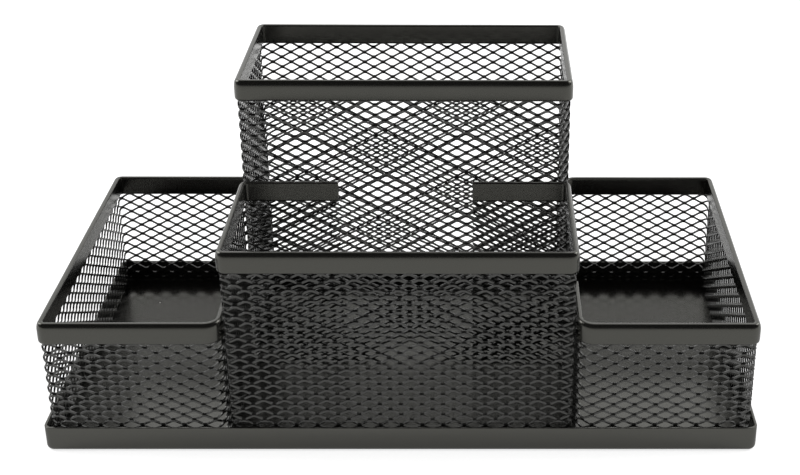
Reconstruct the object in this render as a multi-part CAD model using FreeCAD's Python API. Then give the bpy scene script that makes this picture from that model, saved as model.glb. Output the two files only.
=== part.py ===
"""Steel mesh desk organizer: two low trays beside a front box and a tall back box, all on one base pan.

X runs along the organizer, Y from front to back and Z up. The origin is the middle of the pan's underside.
Sizes are millimetres. Every wall strip and every rim is placed by its mid plane.
"""
import FreeCAD, Part

import math
import os

from FreeCAD import Vector

# Base pan, pressed from one sheet
base_width = 206.0
base_depth = 103.0
base_lip = 8.0            # height of the upturned lip
base_sheet = 0.8
base_corner = 2.2         # radius of the upright corners, outside
base_bend = 1.3           # flat along the bend between floor and lip, measured on each side

# Compartments, over their rims
wall_inset = 1.1          # from the outside of the lip to the outside of the rims
box_width = 100.4         # front box and back box
back_box_depth = 53.0
tray_height = 41.5
front_box_height = 64.0
back_box_height = 96.0
front_box_return = 29.9   # tabs that lie on the back box
tray_return = 26.0        # tabs that lie on the sides of the two boxes
bend_radius = 1.8         # of walls and rims at the corners
tray_inner_radius = 4.2   # of the trays' two corners beside the boxes

# Raised expanded mesh: strands slope one way on the outside and the other way on the inside
mesh_long_way = 7.8       # pitch of the openings along a strip
mesh_short_way = 4.4      # pitch of the openings up a strip
strand_width = 0.82
strand_height = 0.5       # from the mid plane to a strand's ridge
fold_reach = 0.87         # where folds start around a bend: 1 puts the flats outside its arc, 0 across it
wide_bend = 3.0           # bends of at least this radius have three folds, smaller ones two

# Rim: a strip folded over the top edge of the mesh
rim_height = 6.3
rim_sheet = 0.4
rim_clearance = 0.1       # between the strands' ridges and the rim's skirts
bead_height = 1.9         # solid roll along the top of the fold
bead_shoulder = 1.15      # height of the roll's sloping shoulders
bead_flat = 0.4           # half of the flat along the top of the roll

rim_channel = strand_height + rim_clearance
rim_half = rim_channel + rim_sheet

# Mid planes
wall_x = base_width / 2 - wall_inset - rim_half
wall_y = base_depth / 2 - wall_inset - rim_half
box_x = box_width / 2 - rim_half
back_box_front = wall_y - back_box_depth + 2 * rim_half
front_box_back = back_box_front - strand_height - rim_half
tray_x = box_x + strand_height + rim_half

# Where the tabs end
front_box_tab = box_x + rim_half - front_box_return
tray_tab = wall_y + rim_half - tray_return

upward = Vector(0, 0, 1)


def at(x, y):
    return Vector(x, y, 0)


def bend(x, y, radius=bend_radius):
    """Corner of a strip with the radius that it is bent to."""
    return at(x, y), radius


def toward(start, end, distance):
    return start + (end - start).normalize() * distance


def pressed_block(inset):
    """Outside of the pan, or its inside at the sheet's thickness."""
    width = base_width - 2 * inset
    depth = base_depth - 2 * inset
    block = Part.makeBox(width, depth, base_lip, Vector(-width / 2, -depth / 2, inset))
    upright = [edge for edge in block.Edges if abs(edge.tangentAt(0).z) > 0.5]
    block = block.makeFillet(base_corner - inset, upright)
    below = [edge for edge in block.Edges if edge.BoundBox.ZMax < inset + 1e-6]
    bevel = base_bend - inset * (2 - math.sqrt(2))   # keeps the sheet as thick across the flat
    return block.makeChamfer(bevel, below)


def base_pan():
    return pressed_block(0).cut(pressed_block(base_sheet))


def rim_path(corners, closed):
    """Mid line of a rim at height 0: straight runs joined by an arc at each corner."""
    count = len(corners)
    arcs = []
    for i in range(count) if closed else range(1, count - 1):
        corner, radius = corners[i]
        start = toward(corner, corners[i - 1][0], radius)
        end = toward(corner, corners[(i + 1) % count][0], radius)
        centre = start + end - corner
        arcs.append(Part.Arc(start, toward(centre, corner, radius), end).toShape())
    ends = [arc.valueAt(arc.LastParameter) for arc in arcs]
    starts = [arc.valueAt(arc.FirstParameter) for arc in arcs]
    if closed:
        before = [ends[-1]] + ends[:-1]
    else:
        before = [corners[0][0]] + ends[:-1]
    edges = []
    for last_end, start, arc in zip(before, starts, arcs):
        edges += [Part.makeLine(last_end, start), arc]
    if not closed:
        edges.append(Part.makeLine(ends[-1], corners[-1][0]))
    return Part.Wire(edges)


def rim(corners, closed, top):
    """Strip folded over the mesh: a roll along the top and a skirt down each side."""
    path = rim_path(corners, closed)
    start = path.Edges[0]
    origin = start.valueAt(start.FirstParameter)
    outward = start.tangentAt(start.FirstParameter).cross(upward)
    half_section = [
        (bead_flat, 0),
        (rim_half, bead_shoulder),
        (rim_half, rim_height),
        (rim_channel, rim_height),
        (rim_channel, bead_height),
    ]
    section = half_section + [(-across, down) for across, down in reversed(half_section)]
    points = [origin + outward * across + upward * (top - down) for across, down in section]
    profile = Part.makePolygon(points + points[:1])
    return Part.Solid(path.makePipeShell([profile], True, False))


def bend_folds(corner, before, after, radius):
    """Folds of a strip around one bend as (point, half turn): equal turns with flats between them.

    The flats follow the bend's arc closely, so that the strands stay inside the rim's channel there.
    """
    folds = 2 if radius < wide_bend else 3
    turn = math.radians(90) / folds
    cut = radius * (1 - fold_reach * math.tan(turn / 2))
    points = [toward(corner, before, cut), toward(corner, after, cut)]
    if folds == 3:
        diagonal = points[0] + points[1] - corner
        across = cut * math.sin(turn) / math.sin(math.radians(135) - turn)
        points.insert(1, toward(corner, diagonal, across))
    return [(point, turn / 2) for point in points]


def mesh_panels(corners, closed):
    """Flat panels of a folded strip as (start, end, half turn at start, half turn at end)."""
    count = len(corners)
    folds = []
    for i, (corner, radius) in enumerate(corners):
        if closed or 0 < i < count - 1:
            folds += bend_folds(corner, corners[i - 1][0], corners[(i + 1) % count][0], radius)
        else:
            folds.append((corner, 0))
    if closed:
        folds.append(folds[0])
    return [(start, end, turn_start, turn_end)
            for (start, turn_start), (end, turn_end) in zip(folds, folds[1:])]


def strand(first_cut, last_cut):
    """Three-sided bar between two end cuts of three points each."""
    faces = [Part.Face(Part.makePolygon(cut + cut[:1])) for cut in (first_cut, last_cut)]
    for i in range(3):
        j = (i + 1) % 3
        side = [first_cut[i], first_cut[j], last_cut[j], last_cut[i]]
        faces.append(Part.Face(Part.makePolygon(side + side[:1])))
    bar = Part.Solid(Part.Shell(faces))
    if bar.Volume < 0:
        bar.reverse()
    return bar


def panel_strands(panel, travelled, pitch, top, side):
    """One layer of strands on one flat panel: side is 1 outside and -1 inside.

    travelled is how far along the strip the panel starts. Strands meet their next stretch face to face
    at a fold, and are cut level at the pan's floor and at the top of the rim's channel.
    """
    start, end, turn_start, turn_end = panel
    length = (end - start).Length
    forward = (end - start).normalize()
    outward = forward.cross(upward)
    slope = side * mesh_short_way / mesh_long_way
    tilt = math.atan(abs(slope))
    half_rise = strand_width / 2 / math.cos(tilt)
    half_run = strand_width / 2 / math.sin(tilt)
    whole_run = (top - base_sheet) / abs(slope)

    def place(along, height, depth):
        return start + forward * along + outward * depth * side + upward * height

    def fold_cut(along, lean, height_at):
        height = height_at(along)
        ridge = along + lean * side * strand_height
        return [
            place(along, height - half_rise, 0),
            place(along, height + half_rise, 0),
            place(ridge, height_at(ridge), strand_height),
        ]

    def level_cut(along, height):
        return [
            place(along + half_run * side, height, 0),
            place(along - half_run * side, height, 0),
            place(along, height, strand_height),
        ]

    bars = []
    first = math.floor((travelled - whole_run) / pitch)
    last = math.ceil((travelled + length + whole_run) / pitch)
    for k in range(first, last + 1):
        foot = k * pitch - travelled

        def height_at(along):
            return base_sheet + (along - foot) * slope

        head = foot + whole_run * side
        stretch = sorted((foot, head))
        cuts = []
        places = []
        for level, fold, turn, inward in zip(stretch, (0, length), (turn_start, turn_end), (1, -1)):
            if (fold - level) * inward > 2 * half_run:
                cuts.append(fold_cut(fold, -inward * math.tan(turn), height_at))
                places.append(fold)
            else:
                clear = fold + inward * (half_run + math.tan(turn) * strand_height)
                along = max(level, clear) if inward > 0 else min(level, clear)
                cuts.append(level_cut(along, height_at(along)))
                places.append(along)
        crosses = places == [0, length]
        if crosses or places[1] - places[0] > 2 * half_run:
            bars.append(strand(*cuts))
    return bars


def mesh(corners, closed, top):
    """Folded strip of raised mesh, from the pan's floor up into the rim's channel."""
    panels = mesh_panels(corners, closed)
    lengths = [(end - start).Length for start, end, _, _ in panels]
    pitch = mesh_long_way
    if closed:
        pitch = sum(lengths) / round(sum(lengths) / mesh_long_way)   # so that the seam matches
    bars = []
    travelled = 0
    for panel, length in zip(panels, lengths):
        for side in (1, -1):
            bars += panel_strands(panel, travelled, pitch, top - bead_height, side)
        travelled += length
    return Part.makeCompound(bars)


def mirrored(shape):
    return shape.mirror(at(0, 0), at(1, 0))


# Corners of each strip, listed so that the outside of the strip lies to the right of its path
back_box = [
    bend(-box_x, wall_y),
    bend(-box_x, back_box_front),
    bend(box_x, back_box_front),
    bend(box_x, wall_y),
]
front_box = [
    bend(-front_box_tab, front_box_back),
    bend(-box_x, front_box_back),
    bend(-box_x, -wall_y),
    bend(box_x, -wall_y),
    bend(box_x, front_box_back),
    bend(front_box_tab, front_box_back),
]
right_tray = [
    bend(tray_x, -tray_tab),
    bend(tray_x, -wall_y, tray_inner_radius),
    bend(wall_x, -wall_y),
    bend(wall_x, wall_y),
    bend(tray_x, wall_y, tray_inner_radius),
    bend(tray_x, tray_tab),
]

right_tray_mesh = mesh(right_tray, False, tray_height)
right_tray_rim = rim(right_tray, False, tray_height)
nodes = {
    "base_pan": base_pan(),
    "back_box_mesh": mesh(back_box, True, back_box_height),
    "back_box_rim": rim(back_box, True, back_box_height),
    "front_box_mesh": mesh(front_box, False, front_box_height),
    "front_box_rim": rim(front_box, False, front_box_height),
    "right_tray_mesh": right_tray_mesh,
    "right_tray_rim": right_tray_rim,
    "left_tray_mesh": mirrored(right_tray_mesh),
    "left_tray_rim": mirrored(right_tray_rim),
}

os.makedirs("parts", exist_ok=True)
for name, shape in nodes.items():
    shape.exportStep("parts/" + name + ".step")
    print(name, len(shape.Solids), "solids,", round(shape.Volume), "mm3")
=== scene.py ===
import math

import bmesh
import bpy
from mathutils import Matrix, Vector


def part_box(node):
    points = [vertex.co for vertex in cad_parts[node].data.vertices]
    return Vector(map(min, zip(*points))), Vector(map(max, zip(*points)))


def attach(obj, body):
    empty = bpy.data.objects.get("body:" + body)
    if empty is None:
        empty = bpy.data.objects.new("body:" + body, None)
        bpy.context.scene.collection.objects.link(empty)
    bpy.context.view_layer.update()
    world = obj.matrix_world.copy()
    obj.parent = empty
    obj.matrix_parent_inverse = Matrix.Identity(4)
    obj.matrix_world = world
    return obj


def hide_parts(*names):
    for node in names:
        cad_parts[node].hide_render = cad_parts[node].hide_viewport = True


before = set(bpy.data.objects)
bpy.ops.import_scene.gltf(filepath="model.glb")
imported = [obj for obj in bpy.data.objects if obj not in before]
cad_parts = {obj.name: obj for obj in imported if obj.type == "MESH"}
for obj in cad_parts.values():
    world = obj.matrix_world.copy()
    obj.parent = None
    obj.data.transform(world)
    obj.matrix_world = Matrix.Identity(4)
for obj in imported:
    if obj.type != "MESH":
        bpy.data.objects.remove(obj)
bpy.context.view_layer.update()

mm = 0.001
scene = bpy.context.scene
print("frame loaded with", len(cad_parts), "nodes")


def placed(name, data):
    made = bpy.data.objects.new(name, data)
    scene.collection.objects.link(made)
    return made


def feed(tree, socket, value):
    if isinstance(value, bpy.types.NodeSocket):
        tree.links.new(value, socket)
    else:
        socket.default_value = value


def node(tree, kind, inputs=None, **settings):
    made = tree.nodes.new(kind)
    for key, value in settings.items():
        setattr(made, key, value)
    for key, value in (inputs or {}).items():
        feed(tree, made.inputs[key], value)
    return made.outputs


def reckon(tree, operation, *values):
    made = tree.nodes.new("ShaderNodeMath")
    made.operation = operation
    for socket, value in zip(made.inputs, values):
        feed(tree, socket, value)
    return made.outputs[0]


def vectors(tree, operation, *values):
    made = tree.nodes.new("ShaderNodeVectorMath")
    made.operation = operation
    for socket, value in zip(made.inputs, values):
        feed(tree, socket, value)
    return made.outputs[0]


def scaled(tree, vector, factor):
    return node(tree, "ShaderNodeVectorMath", {
        "Vector": vector, "Scale": factor}, operation="SCALE")["Vector"]


def joined(tree, x=0.0, y=0.0, z=0.0):
    return node(tree, "ShaderNodeCombineXYZ", {"X": x, "Y": y, "Z": z})["Vector"]


def split(tree, vector):
    return node(tree, "ShaderNodeSeparateXYZ", {"Vector": vector})[:3]


def blended(tree, factor, first, second):
    return node(tree, "ShaderNodeMix", {"Factor": factor, "A": first, "B": second})["Result"]


def blendedColour(tree, factor, first, second):
    # sockets 6 and 7 are the node's two colours, and output 2 is their mix
    return node(tree, "ShaderNodeMix", {0: factor, 6: first, 7: second}, data_type="RGBA")[2]


def ranged(tree, value, start, end, low, high, **settings):
    inputs = {"Value": value, "From Min": start, "From Max": end, "To Min": low, "To Max": high}
    return node(tree, "ShaderNodeMapRange", inputs, **settings)["Result"]


def noise(tree, place, scale, detail):
    return node(tree, "ShaderNodeTexNoise", {"Vector": place, "Scale": scale, "Detail": detail})


def wobble(tree, place, scale, reach, seed):
    # smooth random shift of a point, the same for every run
    moved = vectors(tree, "ADD", place, joined(tree, seed, seed, seed))
    centred = vectors(tree, "SUBTRACT", noise(tree, moved, scale, 1.0)["Color"], (0.5, 0.5, 0.5))
    return scaled(tree, centred, reckon(tree, "MULTIPLY", reach, 2.0))


def newTree(name, inputs):
    tree = bpy.data.node_groups.new(name, "GeometryNodeTree")
    tree.interface.new_socket("Geometry", in_out="INPUT", socket_type="NodeSocketGeometry")
    for label, kind in inputs.items():
        tree.interface.new_socket(label, in_out="INPUT", socket_type="NodeSocket" + kind)
    tree.interface.new_socket("Geometry", in_out="OUTPUT", socket_type="NodeSocketGeometry")
    return tree, tree.nodes.new("NodeGroupInput").outputs, tree.nodes.new("NodeGroupOutput").inputs


def grown(name, start, tree, values):
    # runs the tree on the start object and keeps its result as a plain mesh
    modifier = start.modifiers.new(name, "NODES")
    modifier.node_group = tree
    for item in tree.interface.items_tree:
        if item.in_out == "INPUT" and item.name in values:
            modifier[item.identifier] = values[item.name]
    bpy.context.view_layer.update()
    graph = bpy.context.evaluated_depsgraph_get()
    mesh = bpy.data.meshes.new_from_object(start.evaluated_get(graph), depsgraph=graph)
    start.modifiers.remove(modifier)
    bpy.data.objects.remove(start)
    mesh.name = name
    return placed(name, mesh)


# black powder coat: what all of it shares, then what differs on each kind of sheet
powder = {
    "dark": (0.003, 0.003, 0.0028, 1),
    "light": (0.005, 0.0049, 0.0045, 1),
    "toneScale": 60.0,
    "dust": (0.35, 0.34, 0.32, 1),
    "smearScale": 25.0,
    "smearRange": (0.3, 0.7),
    "roughnessSpread": 0.04,
    "peelDepth": 0.02 * mm,
    "waveDepth": 0.5 * mm,
}
paints = {
    "pan": {"roughness": 0.22, "ior": 1.98, "tint": (1.0, 0.995, 0.9, 1),
            "peelScale": 900.0, "peelStrength": 0.25, "waveScale": 30.0, "waveStrength": 0.12,
            "speckScale": 150.0, "speckRarity": 0.93, "speckSize": 0.045},
    "rim": {"roughness": 0.22, "ior": 1.9, "tint": (1.0, 0.995, 0.89, 1),
            "peelScale": 900.0, "peelStrength": 0.08, "waveScale": 40.0, "waveStrength": 0.1,
            "speckScale": 190.0, "speckRarity": 0.97, "speckSize": 0.045},
    "mesh": {"roughness": 0.2, "ior": 1.82, "tint": (1.0, 1.0, 0.96, 1),
             "peelScale": 1200.0, "peelStrength": 0.2, "waveScale": 80.0, "waveStrength": 0.05,
             "speckScale": 250.0, "speckRarity": 0.985, "speckSize": 0.05},
}


def powderCoat(name, look):
    material = bpy.data.materials.new(name)
    material.use_nodes = True
    tree = material.node_tree
    paint = tree.nodes["Principled BSDF"]
    place = node(tree, "ShaderNodeTexCoord")["Object"]
    tone = noise(tree, place, powder["toneScale"], 3.0)["Fac"]
    shade = blendedColour(tree, tone, powder["dark"], powder["light"])

    # a few specks of dust
    specks = node(tree, "ShaderNodeTexVoronoi", {"Vector": place, "Scale": look["speckScale"]})
    lot = node(tree, "ShaderNodeSeparateColor", {"Color": specks["Color"]})["Red"]
    chosen = reckon(tree, "GREATER_THAN", lot, look["speckRarity"])
    near = reckon(tree, "LESS_THAN", specks["Distance"], look["speckSize"])
    dusty = blendedColour(tree, reckon(tree, "MULTIPLY", chosen, near), shade, powder["dust"])
    tree.links.new(dusty, paint.inputs["Base Color"])

    smear = noise(tree, place, powder["smearScale"], 4.0)["Fac"]
    spread = powder["roughnessSpread"]
    roughness = look["roughness"]
    sheen = ranged(tree, smear, *powder["smearRange"], roughness - spread, roughness + spread)
    tree.links.new(sheen, paint.inputs["Roughness"])
    paint.inputs["IOR"].default_value = look["ior"]
    paint.inputs["Specular Tint"].default_value = look["tint"]

    # orange peel of the baked powder over the slight waves of the sheet
    peel = noise(tree, place, look["peelScale"], 2.0)["Fac"]
    fine = node(tree, "ShaderNodeBump", {
        "Height": peel, "Strength": look["peelStrength"], "Distance": powder["peelDepth"]})["Normal"]
    waves = noise(tree, place, look["waveScale"], 1.0)["Fac"]
    both = node(tree, "ShaderNodeBump", {
        "Height": waves, "Strength": look["waveStrength"], "Distance": powder["waveDepth"],
        "Normal": fine})["Normal"]
    tree.links.new(both, paint.inputs["Normal"])
    return material


coats = {kind: powderCoat(kind + "PowderCoat", look) for kind, look in paints.items()}
print("paints ready")


# where the walls stand, read from the rims' own boxes
walls = {
    "rimHalf": 1.0 * mm,       # from a wall's middle to the outside of its rim
    "bendRadius": 1.8 * mm,    # of the middle line at the corners
    "innerRadius": 4.2 * mm,   # the same at the trays' corners beside the boxes
    "bendSteps": 8,
    "frontTab": 29.9 * mm,     # length of the front box's tabs, over the rim
    "trayTab": 26.0 * mm,      # the same for the trays
    "straightStep": 6.0 * mm,
    # close points at a run's ends, which the skirts' rounded corners need, and the room for them
    "endMarks": [0.12 * mm, 0.3 * mm, 0.6 * mm, 1.0 * mm, 1.5 * mm],
    "endRoom": 2.0 * mm,
}


def wallCorners(rimNode):
    # corners of a wall's middle line with the radius of each bend
    low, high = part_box(rimNode)
    half, bend, wide = walls["rimHalf"], walls["bendRadius"], walls["innerRadius"]
    left, right = low.x + half, high.x - half
    front, back = low.y + half, high.y - half
    if rimNode == "back_box_rim":
        return [(left, back, bend), (left, front, bend), (right, front, bend), (right, back, bend)]
    if rimNode == "front_box_rim":
        tab = high.x - walls["frontTab"]
        return [(-tab, back, 0), (left, back, bend), (left, front, bend),
                (right, front, bend), (right, back, bend), (tab, back, 0)]
    tab = high.y - walls["trayTab"]
    if rimNode == "right_tray_rim":
        return [(left, -tab, 0), (left, front, wide), (right, front, bend),
                (right, back, bend), (left, back, wide), (left, tab, 0)]
    return [(right, tab, 0), (right, back, wide), (left, back, bend),
            (left, front, bend), (right, front, wide), (right, -tab, 0)]


def wallLine(corners, closed):
    # middle line as points: straight runs with close points at their ends, and rounded corners
    places = [Vector((x, y)) for x, y, radius in corners]
    radii = [radius for x, y, radius in corners]
    if closed:
        middle = (places[0] + places[-1]) / 2
        places, radii = [middle] + places + [middle], [0] + radii + [0]
    steps, marks, room = walls["bendSteps"], walls["endMarks"], walls["endRoom"]
    points = [places[0]]

    def run(start, end):
        length = (end - start).length
        along = (end - start) / length
        count = max(1, round(length / walls["straightStep"]))
        inner = [length * k / count for k in range(1, count)]
        stops = sorted(marks + [m for m in inner if room < m < length - room] + [length - m for m in marks])
        points.extend(start + along * m for m in stops)
        points.append(end)

    for i in range(1, len(places) - 1):
        corner, radius = places[i], radii[i]
        before = (places[i - 1] - corner).normalized() * radius
        after = (places[i + 1] - corner).normalized() * radius
        centre = corner + before + after
        run(points[-1], corner + before)
        for k in range(1, steps + 1):
            turn = math.pi / 2 * k / steps
            points.append(centre - after * math.cos(turn) - before * math.sin(turn))
    run(points[-1], places[-1])
    if closed:
        points.pop()
    return points


def lineObject(name, points, closed, height=0.0):
    curve = bpy.data.curves.new(name, "CURVE")
    curve.dimensions = "3D"
    spline = curve.splines.new("POLY")
    spline.points.add(len(points) - 1)
    for spot, point in zip(spline.points, points):
        spot.co = (point[0], point[1], height, 1)
    spline.use_cyclic_u = closed
    return placed(name, curve)


# expanded mesh: rows of zigzag strands that meet at the bonds, bent along the wall's middle line
meshSheet = {
    "Long Way": 6.05 * mm,            # of an opening, along the wall
    "Short Way": 3.42 * mm,           # and up it
    "Strand Width": 0.59 * mm,
    "Strand Thickness": 0.5 * mm,
    "Lean": math.radians(-3),         # a strand's top edge leans into the box
    "Bond Lean": math.radians(-26),   # and far more where it meets the row below
    "Bond Overlap": 0.06 * mm,
    "Depth Swing": 0.1 * mm,          # its upper bonds stand outward, its lower bonds inward
    "Wobble": 0.05 * mm,
    "Wobble Scale": 90.0,
    "Weld": 0.002 * mm,               # where a closed strand's ends meet
    "cuts": 8.0,                      # of a strand to each long way
    "lowerBond": -0.9,                # below this swing a strand is at a lower bond
    "topRoom": 2.7 * mm,              # from the rim's top down to the mesh
    "sharpAngle": math.radians(50),
}


def expandedMeshTree():
    tree, given, result = newTree("expandedMesh", {
        "Long Way": "Float", "Short Way": "Float", "Strand Width": "Float", "Strand Thickness": "Float",
        "Lean": "Float", "Bond Lean": "Float", "Bond Overlap": "Float", "Depth Swing": "Float",
        "Wobble": "Float", "Wobble Scale": "Float", "Weld": "Float", "Bottom": "Float", "Top": "Float",
        "Cut": "Float", "Closed": "Bool", "Seed": "Float", "Material": "Material"})
    cuts = meshSheet["cuts"]
    halfCut = 0.5 / cuts
    bondSwing = 1 - 4 * halfCut
    path = given["Geometry"]
    length = node(tree, "GeometryNodeCurveLength", {"Curve": path})["Length"]

    # a closed strip has whole waves, an open one has whole cuts
    share = blended(tree, given["Closed"], cuts, 1.0)
    waves = reckon(tree, "MULTIPLY", reckon(tree, "DIVIDE", length, given["Long Way"]), share)
    waves = reckon(tree, "DIVIDE", reckon(tree, "ROUND", waves), share)
    pitch = reckon(tree, "DIVIDE", length, waves)

    # one straight strand
    line = node(tree, "GeometryNodeCurvePrimitiveLine", {"End": joined(tree, length)})["Curve"]
    sections = reckon(tree, "ROUND", reckon(tree, "ADD", reckon(tree, "MULTIPLY", waves, cuts), 1.0))
    line = node(tree, "GeometryNodeResampleCurve", {"Curve": line, "Count": sections}, mode="COUNT")["Curve"]
    profile = node(tree, "GeometryNodeCurvePrimitiveQuadrilateral", {
        "Width": given["Strand Thickness"], "Height": given["Strand Width"]})["Curve"]
    capped = node(tree, "FunctionNodeBooleanMath", {0: given["Closed"]}, operation="NOT")[0]
    strand = node(tree, "GeometryNodeCurveToMesh", {
        "Curve": line, "Profile Curve": profile, "Fill Caps": capped})["Mesh"]
    strand = node(tree, "GeometryNodeFlipFaces", {"Mesh": strand})["Mesh"]

    # a copy of it for each row
    rowStep = reckon(tree, "DIVIDE", given["Short Way"], 2.0)
    rise = reckon(tree, "SUBTRACT", given["Top"], given["Bottom"])
    rows = reckon(tree, "ADD", reckon(tree, "FLOOR", reckon(tree, "DIVIDE", rise, rowStep)), 1.0)
    posts = node(tree, "GeometryNodeMeshLine", {
        "Count": rows, "Start Location": joined(tree, 0.0, 0.0, given["Bottom"]),
        "Offset": joined(tree, 0.0, 0.0, rowStep)})["Mesh"]
    sheet = node(tree, "GeometryNodeInstanceOnPoints", {"Points": posts, "Instance": strand})["Instances"]
    sheet = node(tree, "GeometryNodeRealizeInstances", {"Geometry": sheet})["Geometry"]

    # swing is 1 at the bond with the row above and -1 at the bond with the row below
    place = node(tree, "GeometryNodeInputPosition")["Position"]
    along, depth, height = split(tree, place)
    above = reckon(tree, "SUBTRACT", height, given["Bottom"])
    row = reckon(tree, "ROUND", reckon(tree, "DIVIDE", above, rowStep))
    rowHeight = reckon(tree, "ADD", reckon(tree, "MULTIPLY", row, rowStep), given["Bottom"])
    phase = reckon(tree, "ADD", reckon(tree, "DIVIDE", along, pitch), reckon(tree, "MULTIPLY", row, 0.5))
    phase = reckon(tree, "ADD", reckon(tree, "SUBTRACT", phase, halfCut), given["Cut"])
    fold = reckon(tree, "PINGPONG", phase, 0.5)
    swing = reckon(tree, "SUBTRACT", 1.0, reckon(tree, "MULTIPLY", fold, 4.0))
    swing = reckon(tree, "DIVIDE", swing, bondSwing)
    swing = reckon(tree, "MAXIMUM", reckon(tree, "MINIMUM", swing, 1.0), -1.0)

    # the strand twists into its lower bonds
    atBond = reckon(tree, "LESS_THAN", swing, meshSheet["lowerBond"])
    lean = blended(tree, atBond, given["Lean"], given["Bond Lean"])
    up = reckon(tree, "SUBTRACT", height, rowHeight)
    sine, cosine = reckon(tree, "SINE", lean), reckon(tree, "COSINE", lean)
    leanedDepth = reckon(
        tree, "ADD", reckon(tree, "MULTIPLY", depth, cosine), reckon(tree, "MULTIPLY", up, sine))
    leanedUp = reckon(
        tree, "SUBTRACT", reckon(tree, "MULTIPLY", up, cosine), reckon(tree, "MULTIPLY", depth, sine))

    # zigzag: at a bond this strand's width and the next row's stand one above the other
    uprights = reckon(
        tree, "ADD", reckon(tree, "COSINE", given["Lean"]), reckon(tree, "COSINE", given["Bond Lean"]))
    bond = reckon(tree, "MULTIPLY", reckon(tree, "MULTIPLY", given["Strand Width"], uprights), 0.5)
    bond = reckon(tree, "SUBTRACT", bond, given["Bond Overlap"])
    reach = reckon(tree, "MULTIPLY", reckon(tree, "SUBTRACT", rowStep, bond), 0.5)
    height = reckon(tree, "ADD", rowHeight, leanedUp)
    height = reckon(tree, "ADD", height, reckon(tree, "MULTIPLY", swing, reach))
    depth = reckon(tree, "ADD", leanedDepth, reckon(tree, "MULTIPLY", swing, given["Depth Swing"]))

    # bent along the middle line
    sampled = node(tree, "GeometryNodeSampleCurve", {"Curves": path, "Length": along}, mode="LENGTH")
    outward = vectors(tree, "CROSS_PRODUCT", sampled["Tangent"], (0.0, 0.0, 1.0))
    outward = vectors(tree, "NORMALIZE", outward)
    bent = vectors(tree, "ADD", sampled["Position"], scaled(tree, outward, depth))
    bent = vectors(tree, "ADD", bent, joined(tree, 0.0, 0.0, height))
    shift = wobble(tree, bent, given["Wobble Scale"], given["Wobble"], given["Seed"])
    sheet = node(tree, "GeometryNodeSetPosition", {
        "Geometry": sheet, "Position": vectors(tree, "ADD", bent, shift)})["Geometry"]
    sheet = node(tree, "GeometryNodeMergeByDistance", {
        "Geometry": sheet, "Selection": given["Closed"], "Distance": given["Weld"]})["Geometry"]
    sheet = node(tree, "GeometryNodeSetShadeSmooth", {"Geometry": sheet})["Geometry"]
    sheet = node(tree, "GeometryNodeSetMaterial", {
        "Geometry": sheet, "Material": given["Material"]})["Geometry"]
    tree.links.new(sheet, result["Geometry"])
    return tree


def halfRowHeight():
    # from a row's middle to the edge of its bonds
    lean, bondLean = meshSheet["Lean"], meshSheet["Bond Lean"]
    width, thickness = meshSheet["Strand Width"], meshSheet["Strand Thickness"]
    halfStrand = (width * math.cos(bondLean) + thickness * abs(math.sin(bondLean))) / 2
    upright = width * (math.cos(bondLean) + math.cos(lean)) / 2 - meshSheet["Bond Overlap"]
    return halfStrand + (meshSheet["Short Way"] / 2 - upright) / 2


# rim: a strip folded over the mesh, rounded on top, with a skirt down each side. Its section's
# points are in millimetres, across from the middle and down from the top
rimStrip = {
    "shoulder": 2.6 * mm,        # height of the rounded outer shoulder
    "shoulderSteps": 10,
    "inner": [(-0.6, 0.02), (-0.8, 0.08), (-0.93, 0.22), (-0.98, 0.42), (-0.99, 0.7), (-0.99, 3.4)],
    "skirt": [(0.985, 5.65), (0.955, 5.9), (0.89, 6.12), (0.79, 6.25), (0.69, 6.3), (0.61, 6.22)],
    "channel": [(0.6, 2.95), (0.5, 2.7), (0.3, 2.6)],
    "End Radius": 1.6 * mm,      # of the skirts' lower corners at the free ends
    "Skirt Height": 6.3 * mm,
    "Wobble": 0.05 * mm,
    "Wobble Scale": 35.0,
    "seedShift": 10.0,           # added to a strip's seed for its rim
    "sharpAngle": math.radians(40),
}


def rimSection():
    # from the top down the outside, up the channel, and back up the inside
    steps = rimStrip["shoulderSteps"]
    outer = []
    for k in range(steps + 1):
        turn = math.pi / 2 * k / steps
        outer.append((walls["rimHalf"] * math.sin(turn), rimStrip["shoulder"] * (1 - math.cos(turn))))
    lower = [(across * mm, down * mm) for across, down in rimStrip["skirt"] + rimStrip["channel"]]
    inner = [(across * mm, down * mm) for across, down in rimStrip["inner"]]
    section = outer + lower + [(-across, down) for across, down in reversed(lower)] + inner[::-1]
    return lineObject("rimSection", section, True)


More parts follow.
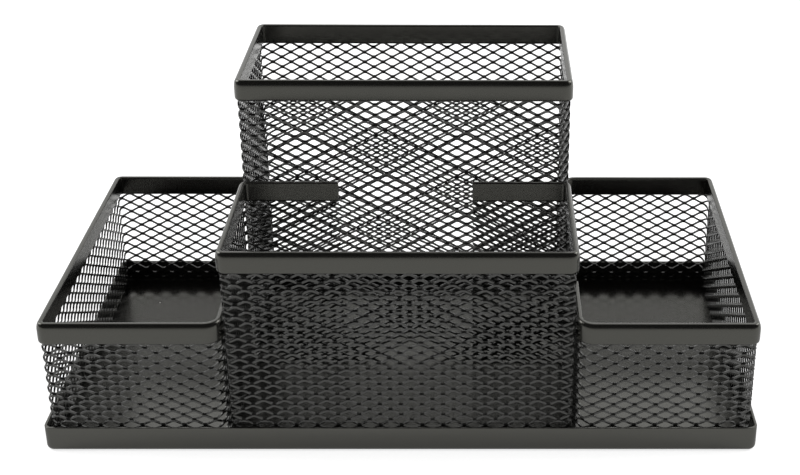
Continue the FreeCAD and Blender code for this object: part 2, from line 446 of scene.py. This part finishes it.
def foldedRimTree():
    tree, given, result = newTree("foldedRim", {
        "Section": "Object", "End Radius": "Float", "Skirt Height": "Float", "Top": "Float",
        "Wobble": "Float", "Wobble Scale": "Float", "Seed": "Float", "Material": "Material"})
    path = node(tree, "GeometryNodeSetCurveNormal", {"Curve": given["Geometry"]}, mode="Z_UP")["Curve"]
    length = node(tree, "GeometryNodeCurveLength", {"Curve": path})["Length"]
    store = tree.nodes.new("GeometryNodeCaptureAttribute")
    store.capture_items.new("FLOAT", "Travelled")
    tree.links.new(path, store.inputs["Geometry"])
    tree.links.new(node(tree, "GeometryNodeSplineParameter")["Length"], store.inputs["Travelled"])
    travelled = store.outputs["Travelled"]
    section = node(tree, "GeometryNodeObjectInfo", {"Object": given["Section"]})["Geometry"]
    strip = node(tree, "GeometryNodeCurveToMesh", {
        "Curve": store.outputs["Geometry"], "Profile Curve": section, "Fill Caps": True})["Mesh"]

    # the skirts' lower corners are rounded at the free ends
    east, north, height = split(tree, node(tree, "GeometryNodeInputPosition")["Position"])
    radius = given["End Radius"]
    fromEnd = reckon(tree, "MINIMUM", travelled, reckon(tree, "SUBTRACT", length, travelled))
    short = reckon(tree, "MAXIMUM", reckon(tree, "SUBTRACT", radius, fromEnd), 0.0)
    square = reckon(
        tree, "SUBTRACT", reckon(tree, "MULTIPLY", radius, radius), reckon(tree, "MULTIPLY", short, short))
    lifted = reckon(tree, "SUBTRACT", radius, reckon(tree, "SQRT", square))
    lowest = reckon(tree, "ADD", reckon(tree, "SUBTRACT", given["Top"], given["Skirt Height"]), lifted)
    shaped = joined(tree, east, north, reckon(tree, "MAXIMUM", height, lowest))

    # the wobble only lowers it, so that the rim stays under its top
    shift = wobble(tree, shaped, given["Wobble Scale"], given["Wobble"], given["Seed"])
    shiftX, shiftY, shiftZ = split(tree, shift)
    sunk = reckon(tree, "SUBTRACT", shiftZ, given["Wobble"])
    shaped = vectors(tree, "ADD", shaped, joined(tree, shiftX, shiftY, sunk))
    strip = node(tree, "GeometryNodeSetPosition", {"Geometry": strip, "Position": shaped})["Geometry"]
    strip = node(tree, "GeometryNodeSetShadeSmooth", {"Geometry": strip})["Geometry"]
    strip = node(tree, "GeometryNodeSetMaterial", {
        "Geometry": strip, "Material": given["Material"]})["Geometry"]
    tree.links.new(strip, result["Geometry"])
    return tree


meshTree = expandedMeshTree()
rimTree = foldedRimTree()
rimCut = rimSection()
halfRow = halfRowHeight()
panSheet = 0.8 * mm   # thickness of the base pan, on which the walls stand
# each strip's name in the CAD, whether it's closed, its seed, and where in an opening it was cut
strips = {
    "backBox": ("back_box", True, 1.0, 0.0),
    "frontBox": ("front_box", False, 2.0, 0.25),
    "rightTray": ("right_tray", False, 3.0, 0.0),
    "leftTray": ("left_tray", False, 4.0, 0.0),
}
for label, (cadName, closed, seed, cut) in strips.items():
    rimNode, meshNode = cadName + "_rim", cadName + "_mesh"
    points = wallLine(wallCorners(rimNode), closed)
    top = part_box(rimNode)[1].z
    values = dict(meshSheet, Bottom=panSheet + halfRow, Top=top - meshSheet["topRoom"] - halfRow,
                  Cut=cut, Closed=closed, Seed=seed, Material=coats["mesh"])
    sheet = grown(label + "Mesh", lineObject("wallLine", points, closed), meshTree, values)
    sheet.data.set_sharp_from_angle(angle=meshSheet["sharpAngle"])
    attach(sheet, "root")
    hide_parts(meshNode)

    seed += rimStrip["seedShift"]
    values = dict(rimStrip, Section=rimCut, Top=top, Seed=seed, Material=coats["rim"])
    if closed:
        values["End Radius"] = 0.0
    rim = grown(label + "Rim", lineObject("rimLine", points, closed, top), rimTree, values)
    rim.data.set_sharp_from_angle(angle=rimStrip["sharpAngle"])
    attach(rim, "root")
    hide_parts(rimNode)
    print(label, "mesh", len(sheet.data.polygons), "faces, rim", len(rim.data.polygons), "faces")
bpy.data.objects.remove(rimCut)


# base pan: one pressed sheet with an upturned lip
pan = {
    "cornerRadius": 2.2 * mm,   # upright corners, outside
    "leastRadius": 0.25 * mm,   # of any ring's corners
    "bendRadius": 1.7 * mm,     # between floor and lip, outside
    "edgeRound": 0.14 * mm,     # of the lip's upper edges
    "edgeShare": 0.3,           # of that round, where its middle point stands
    "cornerSteps": 7,
    "bendSteps": 6,
    "sideSteps": 24,
    "sharpAngle": math.radians(40),
}


def panRing(width, depth, inset, height):
    radius = max(pan["cornerRadius"] - inset, pan["leastRadius"])
    halfX, halfY = width / 2 - inset, depth / 2 - inset
    ring = []

    def side(start, end):
        ring.extend(start.lerp(end, k / pan["sideSteps"]) for k in range(1, pan["sideSteps"]))

    for turn, (sideX, sideY) in enumerate(((1, 1), (-1, 1), (-1, -1), (1, -1))):
        centre = Vector((sideX * (halfX - radius), sideY * (halfY - radius), height))
        arc = []
        for k in range(pan["cornerSteps"] + 1):
            angle = math.pi / 2 * (turn + k / pan["cornerSteps"])
            arc.append(centre + Vector((math.cos(angle), math.sin(angle), 0)) * radius)
        if ring:
            side(ring[-1], arc[0])
        ring += arc
    side(ring[-1], ring[0])
    return ring


def basePan():
    low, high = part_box("base_pan")
    width, depth, lip = high.x - low.x, high.y - low.y, high.z - low.z
    outer, edge, steps = pan["bendRadius"], pan["edgeRound"], pan["bendSteps"]
    inner = outer - panSheet
    middle = edge * pan["edgeShare"]
    turns = [math.pi / 2 * k / steps for k in range(steps + 1)]

    # the sheet's section as inset and height, up the outside of the lip and down its inside
    outline = [(outer * (1 - math.sin(turn)), outer * (1 - math.cos(turn))) for turn in turns]
    outline += [(0, lip - edge), (middle, lip - middle), (edge, lip)]
    outline += [(panSheet - edge, lip), (panSheet - middle, lip - middle), (panSheet, lip - edge)]
    outline += [(outer - inner * math.cos(turn), outer - inner * math.sin(turn)) for turn in turns]
    shape = bmesh.new()
    rings = []
    for inset, height in outline:
        rings.append([shape.verts.new(p) for p in panRing(width, depth, inset, height)])
    count = len(rings[0])
    for below, above in zip(rings, rings[1:]):
        for i in range(count):
            j = (i + 1) % count
            shape.faces.new((below[i], below[j], above[j], above[i]))
    shape.faces.new(list(reversed(rings[0])))
    shape.faces.new(rings[-1])
    bmesh.ops.recalc_face_normals(shape, faces=shape.faces)
    mesh = bpy.data.meshes.new("basePan")
    shape.to_mesh(mesh)
    shape.free()
    mesh.materials.append(coats["pan"])
    mesh.shade_smooth()
    mesh.set_sharp_from_angle(angle=pan["sharpAngle"])
    return placed("basePan", mesh)


base = basePan()
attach(base, "root")
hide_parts("base_pan")
print("base pan", len(base.data.polygons), "faces")


studio = {
    "floorReach": 4.0,
    "floorColour": (0.8, 0.8, 0.8, 1),
    "floorLift": 0.68,            # white that the floor shows the camera by itself
    "floorGloss": (0.15, 0.5),    # the same as gloss shows it, in front and at the back
    "floorFade": (0.0, 0.15),     # from where to where it changes
    "ambient": 0.5,               # even light on matt surfaces
    "roomGlow": 0.035,            # what gloss shows of the darker room in front
    "backdropGlow": 1.0,          # and behind the object
    "backdropFade": (0.0, 0.5),   # from where to where the backdrop takes over
    "lampPower": 2.6,
    "lampSize": 0.5,
    "lampPlace": {"left": (-0.75, 0.12, 0.52), "right": (0.77, 0.12, 0.52)},
    "lampAim": (0, 0, 0.04),
}


def seenDirectly(tree, rays):
    return reckon(tree, "MAXIMUM", rays["Is Camera Ray"], rays["Is Transmission Ray"])


def paleFloor():
    material = bpy.data.materials.new("paleFloor")
    material.use_nodes = True
    tree = material.node_tree
    tree.nodes.remove(tree.nodes["Principled BSDF"])
    matte = node(tree, "ShaderNodeBsdfDiffuse", {"Color": studio["floorColour"]})["BSDF"]
    rays = node(tree, "ShaderNodeLightPath")
    lift = reckon(tree, "MULTIPLY", seenDirectly(tree, rays), studio["floorLift"])
    backward = split(tree, node(tree, "ShaderNodeTexCoord")["Object"])[1]
    shown = ranged(tree, backward, *studio["floorFade"], *studio["floorGloss"])
    lift = reckon(tree, "ADD", lift, reckon(tree, "MULTIPLY", rays["Is Glossy Ray"], shown))
    glow = node(tree, "ShaderNodeEmission", {"Color": (1, 1, 1, 1), "Strength": lift})["Emission"]
    both = node(tree, "ShaderNodeAddShader", {0: matte, 1: glow})["Shader"]
    tree.links.new(both, tree.nodes["Material Output"].inputs["Surface"])
    return material


def studioWorld():
    world = bpy.data.worlds.new("studio")
    world.use_nodes = True
    tree = world.node_tree
    sky = tree.nodes["Background"]
    rays = node(tree, "ShaderNodeLightPath")
    backward = split(tree, node(tree, "ShaderNodeTexCoord")["Generated"])[1]
    glow = ranged(tree, backward, *studio["backdropFade"], studio["roomGlow"], studio["backdropGlow"],
                  interpolation_type="SMOOTHSTEP")
    gloss = blended(tree, rays["Is Glossy Ray"], studio["ambient"], glow)
    level = blended(tree, seenDirectly(tree, rays), gloss, 1.0)
    tree.links.new(level, sky.inputs["Strength"])
    sky.inputs["Color"].default_value = (1, 1, 1, 1)
    return world


reach = studio["floorReach"]
floorMesh = bpy.data.meshes.new("floor")
floorMesh.from_pydata([(-reach, -reach, 0), (reach, -reach, 0), (reach, reach, 0), (-reach, reach, 0)],
                      [], [(0, 1, 2, 3)])
floor = placed("floor", floorMesh)
floorMesh.materials.append(paleFloor())
scene.world = studioWorld()

for side, place in studio["lampPlace"].items():
    light = bpy.data.lights.new(side + "Lamp", "AREA")
    light.shape = "SQUARE"
    light.size = studio["lampSize"]
    light.energy = studio["lampPower"]
    lamp = placed(side + "Lamp", light)
    lamp.location = place
    aim = Vector(studio["lampAim"]) - Vector(place)
    lamp.rotation_euler = aim.to_track_quat("-Z", "Y").to_euler()

view = {
    "place": (0.02305, -0.40613, 0.25004),
    "yaw": 0.5411,
    "pitch": 24.622,
    "roll": 0.3177,
    "sensor": 36,
    "lens": 66.11,
    "shift": (-0.1178, -0.0751),
    "clip": (0.01, 20),
}
yaw, pitch, roll = (math.radians(view[k]) for k in ("yaw", "pitch", "roll"))
forward = Vector((math.sin(yaw) * math.cos(pitch), math.cos(yaw) * math.cos(pitch), -math.sin(pitch)))
sideways = Vector((math.cos(yaw), -math.sin(yaw), 0))
above = sideways.cross(forward)
right = sideways * math.cos(roll) + above * math.sin(roll)
up = above * math.cos(roll) - sideways * math.sin(roll)
lens = bpy.data.cameras.new("camera")
lens.sensor_width = view["sensor"]
lens.lens = view["lens"]
lens.shift_x, lens.shift_y = view["shift"]
lens.clip_start, lens.clip_end = view["clip"]
camera = placed("camera", lens)
turned = Matrix((right, up, -forward)).transposed().to_4x4()
camera.matrix_world = Matrix.Translation(view["place"]) @ turned
scene.camera = camera
scene.view_settings.view_transform = "Standard"

print("floor, light and camera ready")
